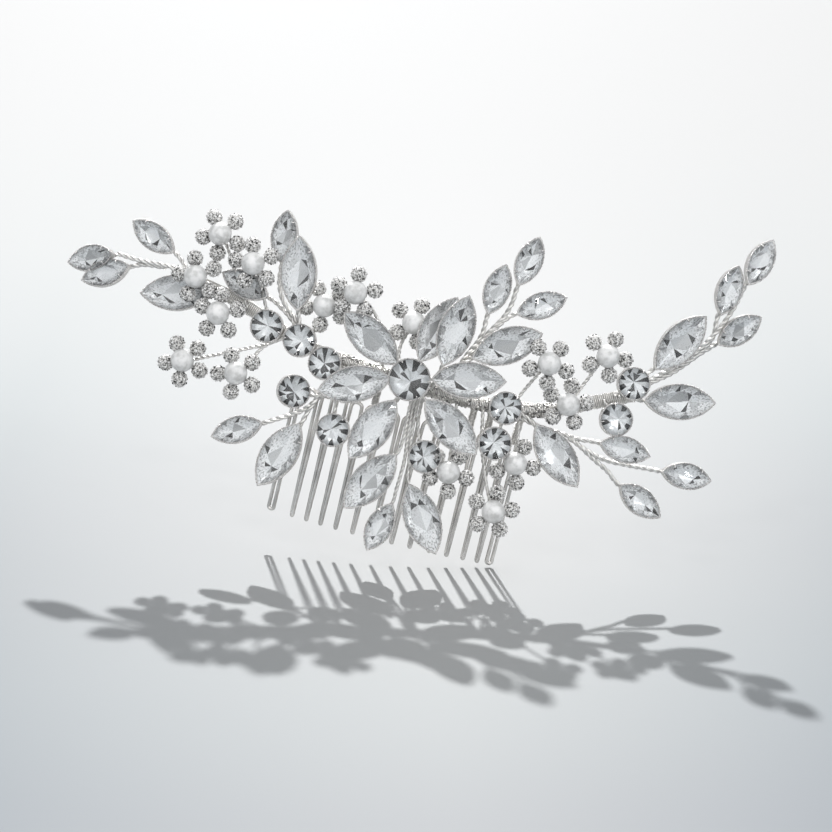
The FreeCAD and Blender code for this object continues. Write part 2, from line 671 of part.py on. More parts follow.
# ---------------------------------------------------------------- checks and export

for obj in doc.Objects:
    if "Invalid" in obj.State or "Error" in obj.State:
        raise RuntimeError(f"{obj.Name} failed to recompute: {obj.State}")
for obj in NODES:
    if obj.Shape.isNull() or not obj.Shape.isValid():
        raise RuntimeError(f"{obj.Label} has no valid shape")

os.makedirs("parts", exist_ok=True)
for obj in NODES:
    obj.Shape.exportStep(f"parts/{obj.Label}.step")
print(len(NODES), "sub-parts")
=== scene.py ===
import math
import random

import bpy
import numpy as np
from mathutils import Matrix, Quaternion, Vector


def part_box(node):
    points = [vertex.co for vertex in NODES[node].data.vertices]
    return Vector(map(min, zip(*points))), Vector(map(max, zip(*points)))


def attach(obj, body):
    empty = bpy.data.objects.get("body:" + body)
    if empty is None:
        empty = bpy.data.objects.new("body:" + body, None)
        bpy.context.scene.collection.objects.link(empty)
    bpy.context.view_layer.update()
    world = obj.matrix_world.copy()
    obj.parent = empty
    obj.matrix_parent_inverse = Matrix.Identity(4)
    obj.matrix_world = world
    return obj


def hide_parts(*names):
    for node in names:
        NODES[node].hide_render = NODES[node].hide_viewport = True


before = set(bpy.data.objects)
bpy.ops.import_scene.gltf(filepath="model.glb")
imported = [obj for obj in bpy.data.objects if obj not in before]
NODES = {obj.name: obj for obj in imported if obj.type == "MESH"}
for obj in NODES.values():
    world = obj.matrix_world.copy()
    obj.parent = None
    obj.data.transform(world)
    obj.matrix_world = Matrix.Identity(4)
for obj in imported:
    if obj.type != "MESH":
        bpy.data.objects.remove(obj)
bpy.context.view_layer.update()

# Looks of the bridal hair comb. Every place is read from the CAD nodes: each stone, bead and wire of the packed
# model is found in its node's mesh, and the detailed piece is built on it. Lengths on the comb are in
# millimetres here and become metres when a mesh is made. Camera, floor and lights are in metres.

MM = 0.001
random.seed(7)
FULL_TURN = 2 * math.pi
TINY = 1e-12
SAME_PLANE = 0.9997  # cosine of the largest angle between neighbouring triangles of one flat face


# ---------------------------------------------------------------- reading the CAD solids

def joined(count, left, right):
    """Label of each of a number of items, the same for items that pairs (left, right) join together."""
    label = np.arange(count)
    while True:
        lower = label.copy()
        np.minimum.at(lower, left, label[right])
        np.minimum.at(lower, right, label[left])
        lower = lower[lower]
        if (lower == label).all():
            return label
        label = lower


def solids_of(node):
    """Separate solids of a CAD node, each as (points in millimetres, triangles)."""
    mesh = NODES[node].data
    coords = np.empty(len(mesh.vertices) * 3)
    mesh.vertices.foreach_get("co", coords)
    points, index = np.unique(np.round(coords.reshape(-1, 3) / MM, 5), axis=0, return_inverse=True)
    mesh.calc_loop_triangles()
    corners = np.empty(len(mesh.loop_triangles) * 3, int)
    mesh.loop_triangles.foreach_get("vertices", corners)
    triangles = index.ravel()[corners.reshape(-1, 3)]
    label = joined(len(points), triangles[:, :2].ravel(), triangles[:, 1:].ravel())
    solids = []
    for first in np.unique(label):
        keep = label == first
        renumber = np.cumsum(keep) - 1
        solids.append((points[keep], renumber[triangles[keep[triangles[:, 0]]]]))
    return solids


def flat_faces(points, triangles):
    """Flat faces of a solid, largest first, as (area, outward normal, indices of its points)."""
    a, b, c = (points[triangles[:, i]] for i in range(3))
    cross = np.cross(b - a, c - a)
    area = np.linalg.norm(cross, axis=1) / 2
    normal = cross / np.maximum(2 * area, TINY)[:, None]
    edges = np.sort(triangles[:, [[0, 1], [1, 2], [2, 0]]].reshape(-1, 2), axis=1)
    owner = np.repeat(np.arange(len(triangles)), 3)
    order = np.lexsort((edges[:, 1], edges[:, 0]))
    edges, owner = edges[order], owner[order]
    same = (edges[1:] == edges[:-1]).all(axis=1)
    left, right = owner[:-1][same], owner[1:][same]
    level = (normal[left] * normal[right]).sum(axis=1) > SAME_PLANE
    label = joined(len(triangles), left[level], right[level])
    faces = []
    for first in np.unique(label):
        members = label == first
        way = cross[members].sum(axis=0)
        if np.linalg.norm(way) > 1e-6:
            faces.append((area[members].sum(), way / np.linalg.norm(way), np.unique(triangles[members])))
    return sorted(faces, key=lambda face: -face[0])


def stone_seat(points, triangles):
    """Frame, length, width and depth of a crystal: Z out of its crown, X along it, origin on its flat back."""
    _, back, members = flat_faces(points, triangles)[0]
    outward = -back
    rim = points[members]
    spread = np.linalg.norm(rim[:, None] - rim[None], axis=2)
    i, j = np.unravel_index(spread.argmax(), spread.shape)
    along = (rim[i] - rim[j]) / spread[i, j]
    # of the two ends, the upper or right one is the far one
    if along[2] + 0.3 * along[0] < 0:
        along = -along
    along -= outward * along.dot(outward)
    along /= np.linalg.norm(along)
    across = np.cross(outward, along)
    middle = (rim.max(axis=0) + rim.min(axis=0)) / 2
    reach = (rim - middle) @ np.stack([along, across], axis=1)
    middle = middle + np.stack([along, across], axis=1) @ ((reach.max(axis=0) + reach.min(axis=0)) / 2)
    length, width = np.ptp(reach, axis=0)
    depth = ((points - middle) @ outward).max()
    seat = Matrix(np.column_stack([along, across, outward]).tolist()).to_4x4()
    seat.translation = Vector(middle)
    return seat, length, width, depth


def ball_of(points):
    """Middle and radius of a ball."""
    low, high = points.min(axis=0), points.max(axis=0)
    return (low + high) / 2, (high - low).mean() / 2


def round_caps(points, triangles):
    """The two flat round ends of a wire, as (middle, radius, indices of the rim's points)."""
    caps = []
    for _, _, members in flat_faces(points, triangles):
        rim = points[members]
        middle = rim.mean(axis=0)
        reach = np.linalg.norm(rim - middle, axis=1)
        if len(members) > 12 and reach.std() < 0.08 * reach.mean():
            caps.append((middle, reach.mean(), members))
    return sorted(caps, key=lambda cap: -len(cap[2]))[:2]


def centre_line(points, triangles):
    """Middle line of a round wire, from one end to the other, and the wire's radius."""
    (start, radius, start_rim), (end, _, end_rim) = round_caps(points, triangles)
    in_caps = [np.isin(triangles, rim).all(axis=1) for rim in (start_rim, end_rim)]
    wall = triangles[~(in_caps[0] | in_caps[1])]
    a, b, c = (points[wall[:, i]] for i in range(3))
    cross = np.cross(b - a, c - a)
    cross /= np.maximum(np.linalg.norm(cross, axis=1), TINY)[:, None]
    # the wall's normals, weighted by angle, lead from its points to the middle of the wire
    normals = np.zeros_like(points)
    for i, (p, q, r) in enumerate(((a, b, c), (b, c, a), (c, a, b))):
        u, v = q - p, r - p
        lengths = np.linalg.norm(u, axis=1) * np.linalg.norm(v, axis=1)
        cosine = (u * v).sum(axis=1) / np.maximum(lengths, TINY)
        np.add.at(normals, wall[:, i], cross * np.arccos(np.clip(cosine, -1, 1))[:, None])
    used = np.linalg.norm(normals, axis=1) > 1e-6
    inner = points[used] - normals[used] / np.linalg.norm(normals[used], axis=1)[:, None] * radius
    # clusters of (sum of points, count), one for each ring of the wall, then put in order from the start
    clusters = []
    for point in inner:
        close = (group for group in clusters if np.linalg.norm(group[0] / group[1] - point) < 0.45 * radius)
        near = next(close, None)
        if near is None:
            clusters.append([point.copy(), 1])
        else:
            near[0] += point
            near[1] += 1
    waiting = [total / count for total, count in clusters]
    waiting = [p for p in waiting if min(np.linalg.norm(p - start), np.linalg.norm(p - end)) > 0.5 * radius]
    line = [start]
    while waiting:
        nearest = min(range(len(waiting)), key=lambda k: np.linalg.norm(waiting[k] - line[-1]))
        line.append(waiting.pop(nearest))
    line.append(end)
    return np.array(line), radius


# ---------------------------------------------------------------- mesh helpers

STRAND_CORNERS, FINE_WIRE_CORNERS = 7, 5


class Shape:
    """Growing mesh in millimetres with a tint for each face, and each point's own place before it is seated."""

    def __init__(self):
        self.points, self.faces, self.tints, self.own = [], [], [], []

    def add(self, points, faces, tints, seat=None):
        """Adds points and faces, moved by a seat, with one tint or one for each face."""
        first = len(self.points)
        self.own += [(p[0], p[1]) for p in points]
        if seat is not None:
            points = [seat @ Vector(p) for p in points]
        self.points += [tuple(p) for p in points]
        self.faces += [tuple(first + k for k in face) for face in faces]
        self.tints += tints if isinstance(tints, list) else [tints] * len(faces)

    def piece(self, name, material, slot, *replaced, smooth=False):
        """Makes the object and rides it on the part's body; the CAD parts that it replaces are hidden."""
        mesh = bpy.data.meshes.new(name)
        mesh.from_pydata([Vector(p) * MM for p in self.points], [], self.faces)
        corners = [k for face in self.faces for k in face]
        colours = [tone for face, tone in zip(self.faces, self.tints) for _ in face]
        layer = mesh.color_attributes.new("tint", "FLOAT_COLOR", "CORNER")
        layer.data.foreach_set("color", np.array(colours, float).reshape(-1))
        flat = mesh.uv_layers.new(name="own")
        flat.data.foreach_set("uv", np.array(self.own, float)[corners].reshape(-1))
        mesh.polygons.foreach_set("use_smooth", [smooth] * len(self.faces))
        mesh.materials.append(material)
        mesh.update()
        obj = bpy.data.objects.new(name, mesh)
        bpy.context.scene.collection.objects.link(obj)
        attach(obj, "root")
        if replaced:
            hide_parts(*replaced)


def grey(value, blue=0.0, grain=1.0):
    """Tint of one lightness, cooler for a higher blue; its alpha says how much of a foil's grain it shows."""
    return (value * (1 - 0.035 * blue), value * (1 - 0.008 * blue), value * (1 + 0.01 * blue), grain)


def circle(count, radius=1.0, start=0.0):
    """Points (x, y) evenly spaced round a circle."""
    angles = [start + k * FULL_TURN / count for k in range(count)]
    return [(radius * math.cos(angle), radius * math.sin(angle)) for angle in angles]


def resample(line, step):
    """Points evenly spaced along a smooth curve through a line's points."""
    line = np.asarray(line, float)
    padded = np.vstack([2 * line[0] - line[1], line, 2 * line[-1] - line[-2]])
    curve = []
    for p0, p1, p2, p3 in zip(padded, padded[1:], padded[2:], padded[3:]):
        span = np.linalg.norm(p2 - p1)
        count = max(1, int(span / (0.5 * step)))
        d01, d12, d23 = (max(np.linalg.norm(v), 1e-6) ** 0.5 for v in (p1 - p0, p2 - p1, p3 - p2))
        m1 = (p2 - p1) + d12 * ((p1 - p0) / d01 - (p2 - p0) / (d01 + d12))
        m2 = (p2 - p1) + d12 * ((p3 - p2) / d23 - (p3 - p1) / (d12 + d23))
        for t in np.arange(count) / count:
            h = (2 * t**3 - 3 * t**2 + 1, t**3 - 2 * t**2 + t, -2 * t**3 + 3 * t**2, t**3 - t**2)
            curve.append(h[0] * p1 + h[1] * m1 + h[2] * p2 + h[3] * m2)
    curve.append(line[-1])
    curve = np.array(curve)
    run = np.concatenate([[0], np.cumsum(np.linalg.norm(np.diff(curve, axis=0), axis=1))])
    where = np.linspace(0, run[-1], max(3, int(round(run[-1] / step)) + 1))
    return np.stack([np.interp(where, run, curve[:, k]) for k in range(3)], axis=1), where


def turning_frames(curve):
    """Two directions across a curve at each point, carried along it without twist."""
    tangents = np.gradient(curve, axis=0)
    tangents /= np.maximum(np.linalg.norm(tangents, axis=1), 1e-9)[:, None]
    start = np.cross(tangents[0], [0.0, 1.0, 0.0] if abs(tangents[0][1]) < 0.9 else [1.0, 0.0, 0.0])
    sides = [start / np.linalg.norm(start)]
    for tangent in tangents[1:]:
        side = sides[-1] - tangent * sides[-1].dot(tangent)
        sides.append(side / np.linalg.norm(side))
    sides = np.array(sides)
    return sides, np.cross(tangents, sides)


def add_tube(shape, curve, radius, corners, tint):
    """Closed round tube along a curve."""
    u, v = turning_frames(curve)
    angles = np.arange(corners) * FULL_TURN / corners
    ring = np.cos(angles)[None, :, None] * u[:, None] + np.sin(angles)[None, :, None] * v[:, None]
    points = (curve[:, None] + radius * ring).reshape(-1, 3)
    faces = []
    for i in range(len(curve) - 1):
        for k in range(corners):
            a, b = i * corners + k, i * corners + (k + 1) % corners
            faces.append((a, b, b + corners, a + corners))
    last = (len(curve) - 1) * corners
    faces.append(tuple(range(corners - 1, -1, -1)))
    faces.append(tuple(last + k for k in range(corners)))
    shape.add(points, faces, tint)


def add_twist(shape, line, radius, pitch):
    """Two wires twisted round each other along a line, filling a round of the given radius."""
    strand_radius = radius * 0.6
    curve, run = resample(line, pitch / 9)
    u, v = turning_frames(curve)
    for start in (0, 0.5):
        phase = FULL_TURN * (run / pitch + start)
        offset = np.cos(phase)[:, None] * u + np.sin(phase)[:, None] * v
        middle = curve + offset * (radius - strand_radius)
        add_tube(shape, middle, strand_radius, STRAND_CORNERS, grey(random.uniform(0.85, 1)))


def add_coil(shape, line, radius, wire, pitch, wobble, start=0.0, stop=1.0):
    """Fine wire wound round a line, from one share of its length to another, a little uneven in radius."""
    curve, run = resample(line, pitch / 16)
    first, last = int(start * (len(curve) - 1)), int(stop * (len(curve) - 1)) + 1
    curve, run = curve[first:last], run[first:last]
    u, v = turning_frames(curve)
    phase = FULL_TURN * run / pitch
    beat = 1 + wobble * np.sin(run * 2.9 + radius * 40) + 0.6 * wobble * np.sin(run * 7.7)
    offset = np.cos(phase)[:, None] * u + np.sin(phase)[:, None] * v
    middle = curve + offset * (radius * beat)[:, None]
    add_tube(shape, middle, wire, FINE_WIRE_CORNERS, grey(random.uniform(0.85, 1)))


# ---------------------------------------------------------------- materials

WHITE, BLACK = (1, 1, 1, 1), (0, 0, 0, 1)


def new_material(name, **values):
    """Principled material with constant values on the shader's own sockets."""
    material = bpy.data.materials.new(name)
    material.use_nodes = True
    shader = material.node_tree.nodes["Principled BSDF"]
    for key, value in values.items():
        shader.inputs[key.replace("_", " ")].default_value = value
    return material, material.node_tree.nodes, material.node_tree.links, shader


def node_of(nodes, kind, **settings):
    """Shader node with some settings."""
    made = nodes.new(kind)
    for key, value in settings.items():
        if key in made.inputs:
            made.inputs[key].default_value = value
        else:
            setattr(made, key, value)
    return made


def times(nodes, links, first, second):
    """Product of two colours."""
    mix = node_of(nodes, "ShaderNodeMix", data_type="RGBA", blend_type="MULTIPLY")
    mix.inputs["Factor"].default_value = 1
    links.new(first, mix.inputs["A"])
    links.new(second, mix.inputs["B"])
    return mix.outputs["Result"]


def tint_times(nodes, links, colour, shader):
    """Multiplies the mesh's tint into a colour and gives it to the shader."""
    tint = node_of(nodes, "ShaderNodeAttribute", attribute_name="tint")
    links.new(times(nodes, links, tint.outputs["Color"], colour), shader.inputs["Base Color"])


def ramp_of(nodes, links, value, stops):
    """Colour ramp of a value, between stops of (position, colour)."""
    ramp = node_of(nodes, "ShaderNodeValToRGB")
    links.new(value, ramp.inputs["Fac"])
    elements = ramp.color_ramp.elements
    elements[0].position, elements[0].color = stops[0]
    elements[1].position, elements[1].color = stops[-1]
    for position, colour in stops[1:-1]:
        elements.new(position).color = colour
    return ramp


def noise_ramp(nodes, links, scale, detail, stops):
    """Object-space noise, and the colours that it gives between stops of (position, colour)."""
    where = node_of(nodes, "ShaderNodeTexCoord")
    noise = node_of(nodes, "ShaderNodeTexNoise", Scale=scale, Detail=detail)
    links.new(where.outputs["Object"], noise.inputs["Vector"])
    return noise.outputs["Fac"], ramp_of(nodes, links, noise.outputs["Fac"], stops).outputs["Color"]


def colour_ramp(nodes, links, value, low, high, stops):
    """Turns a value between low and high smoothly into colours between stops of (position, colour)."""
    spread = node_of(nodes, "ShaderNodeMapRange")
    spread.inputs["From Min"].default_value, spread.inputs["From Max"].default_value = low, high
    links.new(value, spread.inputs["Value"])
    ramp = ramp_of(nodes, links, spread.outputs["Result"], stops)
    ramp.color_ramp.interpolation = "B_SPLINE"
    return ramp.outputs["Color"]


def bump(nodes, links, height, shader, distance, strength=1.0):
    """Bump from a height output, its distance in metres."""
    made = node_of(nodes, "ShaderNodeBump", Strength=strength, Distance=distance)
    links.new(height, made.inputs["Height"])
    links.new(made.outputs["Normal"], shader.inputs["Normal"])


def fade_from(nodes, links, share, plain, colour):
    """Turns from a plain colour into another one by a share from 0 to 1."""
    mix = node_of(nodes, "ShaderNodeMix", data_type="RGBA")
    mix.inputs["A"].default_value = plain
    links.new(share, mix.inputs["Factor"])
    links.new(colour, mix.inputs["B"])
    return mix.outputs["Result"]


def painted_outline_shade(nodes, links, blend, start, end, shade):
    """Painted shade: white where a surface is seen face on, turning to a darker shade towards its outline."""
    facing = node_of(nodes, "ShaderNodeLayerWeight", Blend=blend)
    return colour_ramp(nodes, links, facing.outputs["Facing"], 0, 1, [(start, WHITE), (end, shade)])


def metal(name, colour, roughness, grain, depth=0.00001, outline=1.0, tinted=False):
    """Silver metal: slightly uneven colour, roughness and surface, in object space, with painted shade darker
    at its outline.

    Roughness is a range, grain the noise's scale, depth the bump's, and outline the share of the colour that
    the painted shade leaves at the outline.
    """
    material, nodes, links, shader = new_material(name, Metallic=1.0)
    low = tuple(0.72 * c for c in colour) + (1,)
    noise, clouds = noise_ramp(nodes, links, grain, 4, [(0.3, low), (0.65, (*colour, 1))])
    # painted shade, standing in for dark reflections: the colour darkens towards the outline
    shade = painted_outline_shade(nodes, links, 0.5, 0.35, 0.85, (outline, 0.98 * outline, 0.95 * outline, 1))
    colours = times(nodes, links, clouds, shade)
    if tinted:
        tint_times(nodes, links, colours, shader)
    else:
        links.new(colours, shader.inputs["Base Color"])
    spread = node_of(nodes, "ShaderNodeMapRange")
    spread.inputs["To Min"].default_value, spread.inputs["To Max"].default_value = roughness
    links.new(noise, spread.inputs["Value"])
    links.new(spread.outputs["Result"], shader.inputs["Roughness"])
    bump(nodes, links, noise, shader, depth)
    return material


def clear_glass(name):
    """Clear crystal of a crown, with a faintly uneven polish."""
    material, nodes, links, shader = new_material(name, Transmission_Weight=1.0, IOR=1.46, Roughness=0.0)
    noise, clouds = noise_ramp(nodes, links, 900, 2, [(0.2, (0.97, 0.98, 0.985, 1)), (0.8, WHITE)])
    links.new(clouds, shader.inputs["Base Color"])
    bump(nodes, links, noise, shader, 0.00002, 0.08)
    return material


def foil(name):
    """Silvered cut back of a crystal, each facet with its tint of painted reflection, and a dark grain drawn
    out along the stone.
    """
    material, nodes, links, shader = new_material(name, Metallic=0.25, Roughness=0.2)
    where = node_of(nodes, "ShaderNodeTexCoord")
    stretch = node_of(nodes, "ShaderNodeMapping")
    stretch.inputs["Scale"].default_value = (1.1, 2.0, 1)
    noise = node_of(nodes, "ShaderNodeTexNoise", Scale=1.7, Detail=2, Roughness=0.6)
    links.new(where.outputs["UV"], stretch.inputs["Vector"])
    links.new(stretch.outputs["Vector"], noise.inputs["Vector"])
    grain = ramp_of(nodes, links, noise.outputs["Fac"], [(0.39, (0.4, 0.4, 0.4, 1)), (0.49, WHITE)])
    tint = node_of(nodes, "ShaderNodeAttribute", attribute_name="tint")
    shown = fade_from(nodes, links, tint.outputs["Alpha"], WHITE, grain.outputs["Color"])
    tint_times(nodes, links, shown, shader)
    return material


STEEL = metal("comb_steel_wire", (0.85, 0.835, 0.81), roughness=(0.12, 0.25), grain=260, outline=0.2)
STEM = metal(
    "twisted_silver_wire", (0.88, 0.87, 0.85), roughness=(0.28, 0.45), grain=1400, outline=0.45, tinted=True
)
LASHING = metal(
    "fine_lashing_wire", (0.95, 0.935, 0.91), roughness=(0.22, 0.4), grain=1800, outline=0.5, tinted=True
)
BAND = metal("satin_band", (0.6, 0.59, 0.57), roughness=(0.32, 0.5), grain=700)
SETTING = metal(
    "silver_setting", (0.84, 0.83, 0.82), roughness=(0.2, 0.4), grain=900, depth=0.00002, outline=0.6
)
CLAW = metal(
    "claws_and_milled_rim", (0.88, 0.87, 0.86), roughness=(0.16, 0.34), grain=2600, outline=0.6, tinted=True
)
GLASS = clear_glass("clear_crystal")
FOIL = foil("facet_foil")


def pearl_material():
    """Satiny pearl coating: clouded, and with painted shade a little darker towards its outline."""
    material, nodes, links, shader = new_material(
        "pearl_coat", Roughness=0.34, IOR=1.6, Coat_Weight=0.5, Coat_Roughness=0.16
    )
    stops = [(0.35, (0.6, 0.6, 0.59, 1)), (0.5, (0.78, 0.78, 0.775, 1)), (0.62, (0.88, 0.875, 0.87, 1))]
    noise, clouds = noise_ramp(nodes, links, 650, 3, stops)
    # painted shade and sheen: the pearl turns greyer towards its outline
    rim = painted_outline_shade(nodes, links, 0.35, 0.0, 0.8, (0.66, 0.67, 0.67, 1))
    links.new(times(nodes, links, clouds, rim), shader.inputs["Base Color"])
    bump(nodes, links, noise, shader, 0.00002)
    return material


def pave_materials():
    """Speckled cement of a pave bead, and the tiny stones set in it."""
    cement, nodes, links, shader = new_material("pave_cement", Roughness=0.5)
    stops = [(0.42, (0.09, 0.09, 0.087, 1)), (0.56, (0.75, 0.74, 0.72, 1))]
    noise, speckles = noise_ramp(nodes, links, 3200, 2, stops)
    links.new(speckles, shader.inputs["Base Color"])
    bump(nodes, links, noise, shader, 0.00004)
    stones, nodes, links, shader = new_material("pave_stones", Roughness=0.14, Metallic=0.1, IOR=1.6)
    _, clouds = noise_ramp(nodes, links, 2400, 1, [(0.35, (0.7, 0.69, 0.68, 1)), (0.6, WHITE)])
    tint_times(nodes, links, clouds, shader)
    return cement, stones


PEARL = pearl_material()
CEMENT, PAVE = pave_materials()


# ---------------------------------------------------------------- crystals

def navette_outline(length, width, count):
    """Points of a pointed oval of two equal arcs, from its far point round anticlockwise."""
    radius = (length**2 + width**2) / (4 * width)
    half_turn = math.asin(length / 2 / radius)
    drop = radius - width / 2
    side = []
    for i in range(count // 2):
        angle = half_turn * (1 - 4 * i / count)
        side.append((radius * math.sin(angle), radius * math.cos(angle) - drop))
    return side + [(-x, -y) for x, y in side]


# painted reflections: tints of a keel's facets, pale, greyed and dark, and of a pavilion's wedges
PAINTED_PALE_FACETS, PAINTED_GREY_FACETS, PAINTED_DARK_FACETS = (0.98, 1.02, 1.08, 1.12, 1.05), (0.5, 0.66, 0.78), (0.015, 0.04, 0.08)
PAINTED_DARK_WEDGES, PAINTED_BRIGHT_WEDGES = (0.03, 0.05, 0.09), (0.8, 1.0, 1.1)
HIDDEN = 0.6  # tint of the facets that no one sees: side and floor of a foil back
CROWN = 1.0  # height of every stone above its girdle
GIRDLE = (-0.12, 0.08)  # foot and top of the glass's edge, from the girdle
FOIL_TOP = -0.15  # rim of the foil back, from the girdle
FOIL_FOOT, KEEL_FOOT = 0.03, 0.1  # foot of its wall and of its keel, from the stone's flat back
GRAIN_RADIUS = 0.15  # of the milled rim
CLAW_RADIUS, CLAW_TIP_RADIUS = 0.16, 0.17


def navette_stone(glass, back, seat, length, width, depth):
    """Navette crystal: a clear crown of a few large facets over a mirrored keel with painted reflections on its
    facets.
    """
    girdle = depth - CROWN
    sink = girdle - KEEL_FOOT
    outline = navette_outline(length, width, 24)
    tip = random.uniform(0.05, 0.17) * length * random.choice((-1, 1))
    side = random.uniform(-0.13, 0.13) * width
    # crown: girdle ring, break ring of every other point, and an off-centre summit with a short ridge
    points = [(x, y, girdle + edge) for edge in GIRDLE for x, y in outline]
    breaks = [(0.74 * x, 0.7 * y, girdle + 0.58) for x, y in outline[::2]]
    points += breaks + [(tip, side, depth - 0.04), (-0.6 * tip, -side, depth - 0.12)]
    n, m = len(outline), len(breaks)
    first, second = 2 * n + m, 2 * n + m + 1
    faces = [(i, (i + 1) % n, n + (i + 1) % n, n + i) for i in range(n)]
    near_first = [x * tip + y * side >= 0 for x, y, _ in breaks]
    for k in range(m):
        a, b, c = n + 2 * k, n + 2 * k + 1, n + (2 * k + 2) % n
        p, q = 2 * n + k, 2 * n + (k + 1) % m
        faces += [(a, b, p), (b, q, p), (b, c, q)]
        here, there = (first, second) if near_first[k] else (second, first)
        faces.append((p, q, here))
        if near_first[k] != near_first[(k + 1) % m]:
            faces.append((q, there, here))
    faces.append(tuple(reversed(range(n))))
    glass.add(points, faces, grey(1.0), seat)

    # keel: a ring under the girdle and big facets down to two keel points, tinted in broad sectors as painted
    # reflections, pale, greyed and a few dark
    count = 16
    rim = [(0.99 * x, 0.98 * y, girdle + FOIL_TOP) for x, y in navette_outline(length, width, count)]
    mid = [
        (0.66 * x + random.uniform(-0.3, 0.3), 0.6 * y + random.uniform(-0.15, 0.15), girdle - 0.55 * sink)
        for x, y, _ in rim
    ]
    reach = 0.16 * length
    keel = [
        (sign * reach + random.uniform(-0.7, 0.7), random.uniform(-0.35, 0.35), girdle - sink)
        for sign in (1, -1)
    ]
    foot = 2 * count + len(keel)
    points = rim + mid + keel + [(x, y, FOIL_FOOT) for x, y, _ in rim]
    sectors = [random.choice(PAINTED_PALE_FACETS + PAINTED_PALE_FACETS + PAINTED_PALE_FACETS + PAINTED_GREY_FACETS) for _ in range(count // 2)]
    sectors[random.randrange(count // 2)] = random.choice(PAINTED_GREY_FACETS)
    faces, tones = [], []
    darkest = random.sample(range(count), 3)
    side_of = [x > 0 for x, _, _ in mid]
    for k in range(count):
        a, b = k, (k + 1) % count
        p, q = count + a, count + b
        near = 2 * count + (0 if side_of[a] else 1)
        faces += [(a, b, q), (a, q, p), (p, q, near)]
        tones.append(grey(random.choice(PAINTED_PALE_FACETS + PAINTED_GREY_FACETS), 0.5))
        tones.append(grey(random.choice(PAINTED_DARK_FACETS if k == darkest[2] else PAINTED_PALE_FACETS + PAINTED_PALE_FACETS + PAINTED_GREY_FACETS), 0.6))
        tones.append(grey(random.choice(PAINTED_DARK_FACETS) if k in darkest[:2] else sectors[k // 2], 0.8, 0.6))
        if side_of[a] != side_of[b]:
            faces.append((q, 2 * count + (0 if side_of[b] else 1), near))
            tones.append(grey(random.choice(PAINTED_PALE_FACETS + PAINTED_GREY_FACETS), 0.8, 0.2))
        faces.append((b, a, foot + a, foot + b))
        tones.append(grey(HIDDEN))
    faces.append(tuple(foot + k for k in reversed(range(count))))
    tones.append(grey(HIDDEN))
    back.add(points, faces, tones, seat)


def round_stone(glass, back, seat, diameter, depth):
    """Round crystal: a clear brilliant crown over a mirrored pavilion of light and dark wedges of painted
    reflection.
    """
    radius, girdle, count = diameter / 2, depth - CROWN, 16
    half = count // 2
    # crown: girdle ring, kites and a table of half as many corners
    ring = circle(count)
    points = [(radius * x, radius * y, girdle + edge) for edge in GIRDLE for x, y in ring]
    points += [(0.79 * radius * x, 0.79 * radius * y, girdle + 0.52) for x, y in ring[::2]]
    points += [(0.52 * radius * x, 0.52 * radius * y, depth - 0.08) for x, y in ring[1::2]]
    faces = [(i, (i + 1) % count, count + (i + 1) % count, count + i) for i in range(count)]
    first_kite, first_table = 2 * count, 2 * count + half
    for k in range(half):
        a, b, c = count + 2 * k, count + 2 * k + 1, count + (2 * k + 2) % count
        kite, after = first_kite + k, first_kite + (k + 1) % half
        table, table_after = first_table + k, first_table + (k + 1) % half
        faces += [(a, b, kite), (b, c, after), (b, after, table), (b, table, kite), (table, after, table_after)]
    faces.append(tuple(first_table + k for k in range(half)))
    faces.append(tuple(reversed(range(count))))
    glass.add(points, faces, grey(1.0), seat)

    # pavilion: a ring under the girdle and wedges down to the culet, every other one mostly dark, as painted
    # reflections
    spin = random.uniform(0, FULL_TURN)
    sink = girdle - KEEL_FOOT
    culet = (random.uniform(-0.15, 0.15) * radius, random.uniform(-0.15, 0.15) * radius, girdle - sink)
    ring = circle(count, start=spin)
    rim = [(0.98 * radius * x, 0.98 * radius * y, girdle + FOIL_TOP) for x, y in ring]
    mid = []
    for k, (x, y) in enumerate(ring):
        reach = radius * (0.62 if k % 2 else 0.5) * random.uniform(0.85, 1.12)
        drop = sink * (0.45 if k % 2 else 0.55)
        mid.append((reach * x + 0.5 * culet[0], reach * y + 0.5 * culet[1], girdle - drop))
    bottom, foot = 2 * count, 2 * count + 1
    points = rim + mid + [culet] + [(x, y, FOIL_FOOT) for x, y, _ in rim]
    faces, tones = [], []
    for k in range(count):
        after = (k + 1) % count
        faces += [(k, after, count + after), (k, count + after, count + k), (count + k, count + after, bottom)]
        shade = random.choice(PAINTED_DARK_WEDGES)
        dark = k % 2 and random.random() < 0.9
        long = dark and random.random() < 0.45
        tones.append(grey(shade if dark else random.choice(PAINTED_BRIGHT_WEDGES), 1.0, 0.3))
        tones.append(grey(shade if long else random.choice(PAINTED_BRIGHT_WEDGES), 1.0, 0.3))
        tones.append(grey(shade if random.random() < 0.25 else random.choice(PAINTED_BRIGHT_WEDGES), 1.0, 0.3))
        faces.append((after, k, foot + k, foot + after))
        tones.append(grey(HIDDEN))
    faces.append(tuple(foot + k for k in reversed(range(count))))
    tones.append(grey(HIDDEN))
    back.add(points, faces, tones, seat)


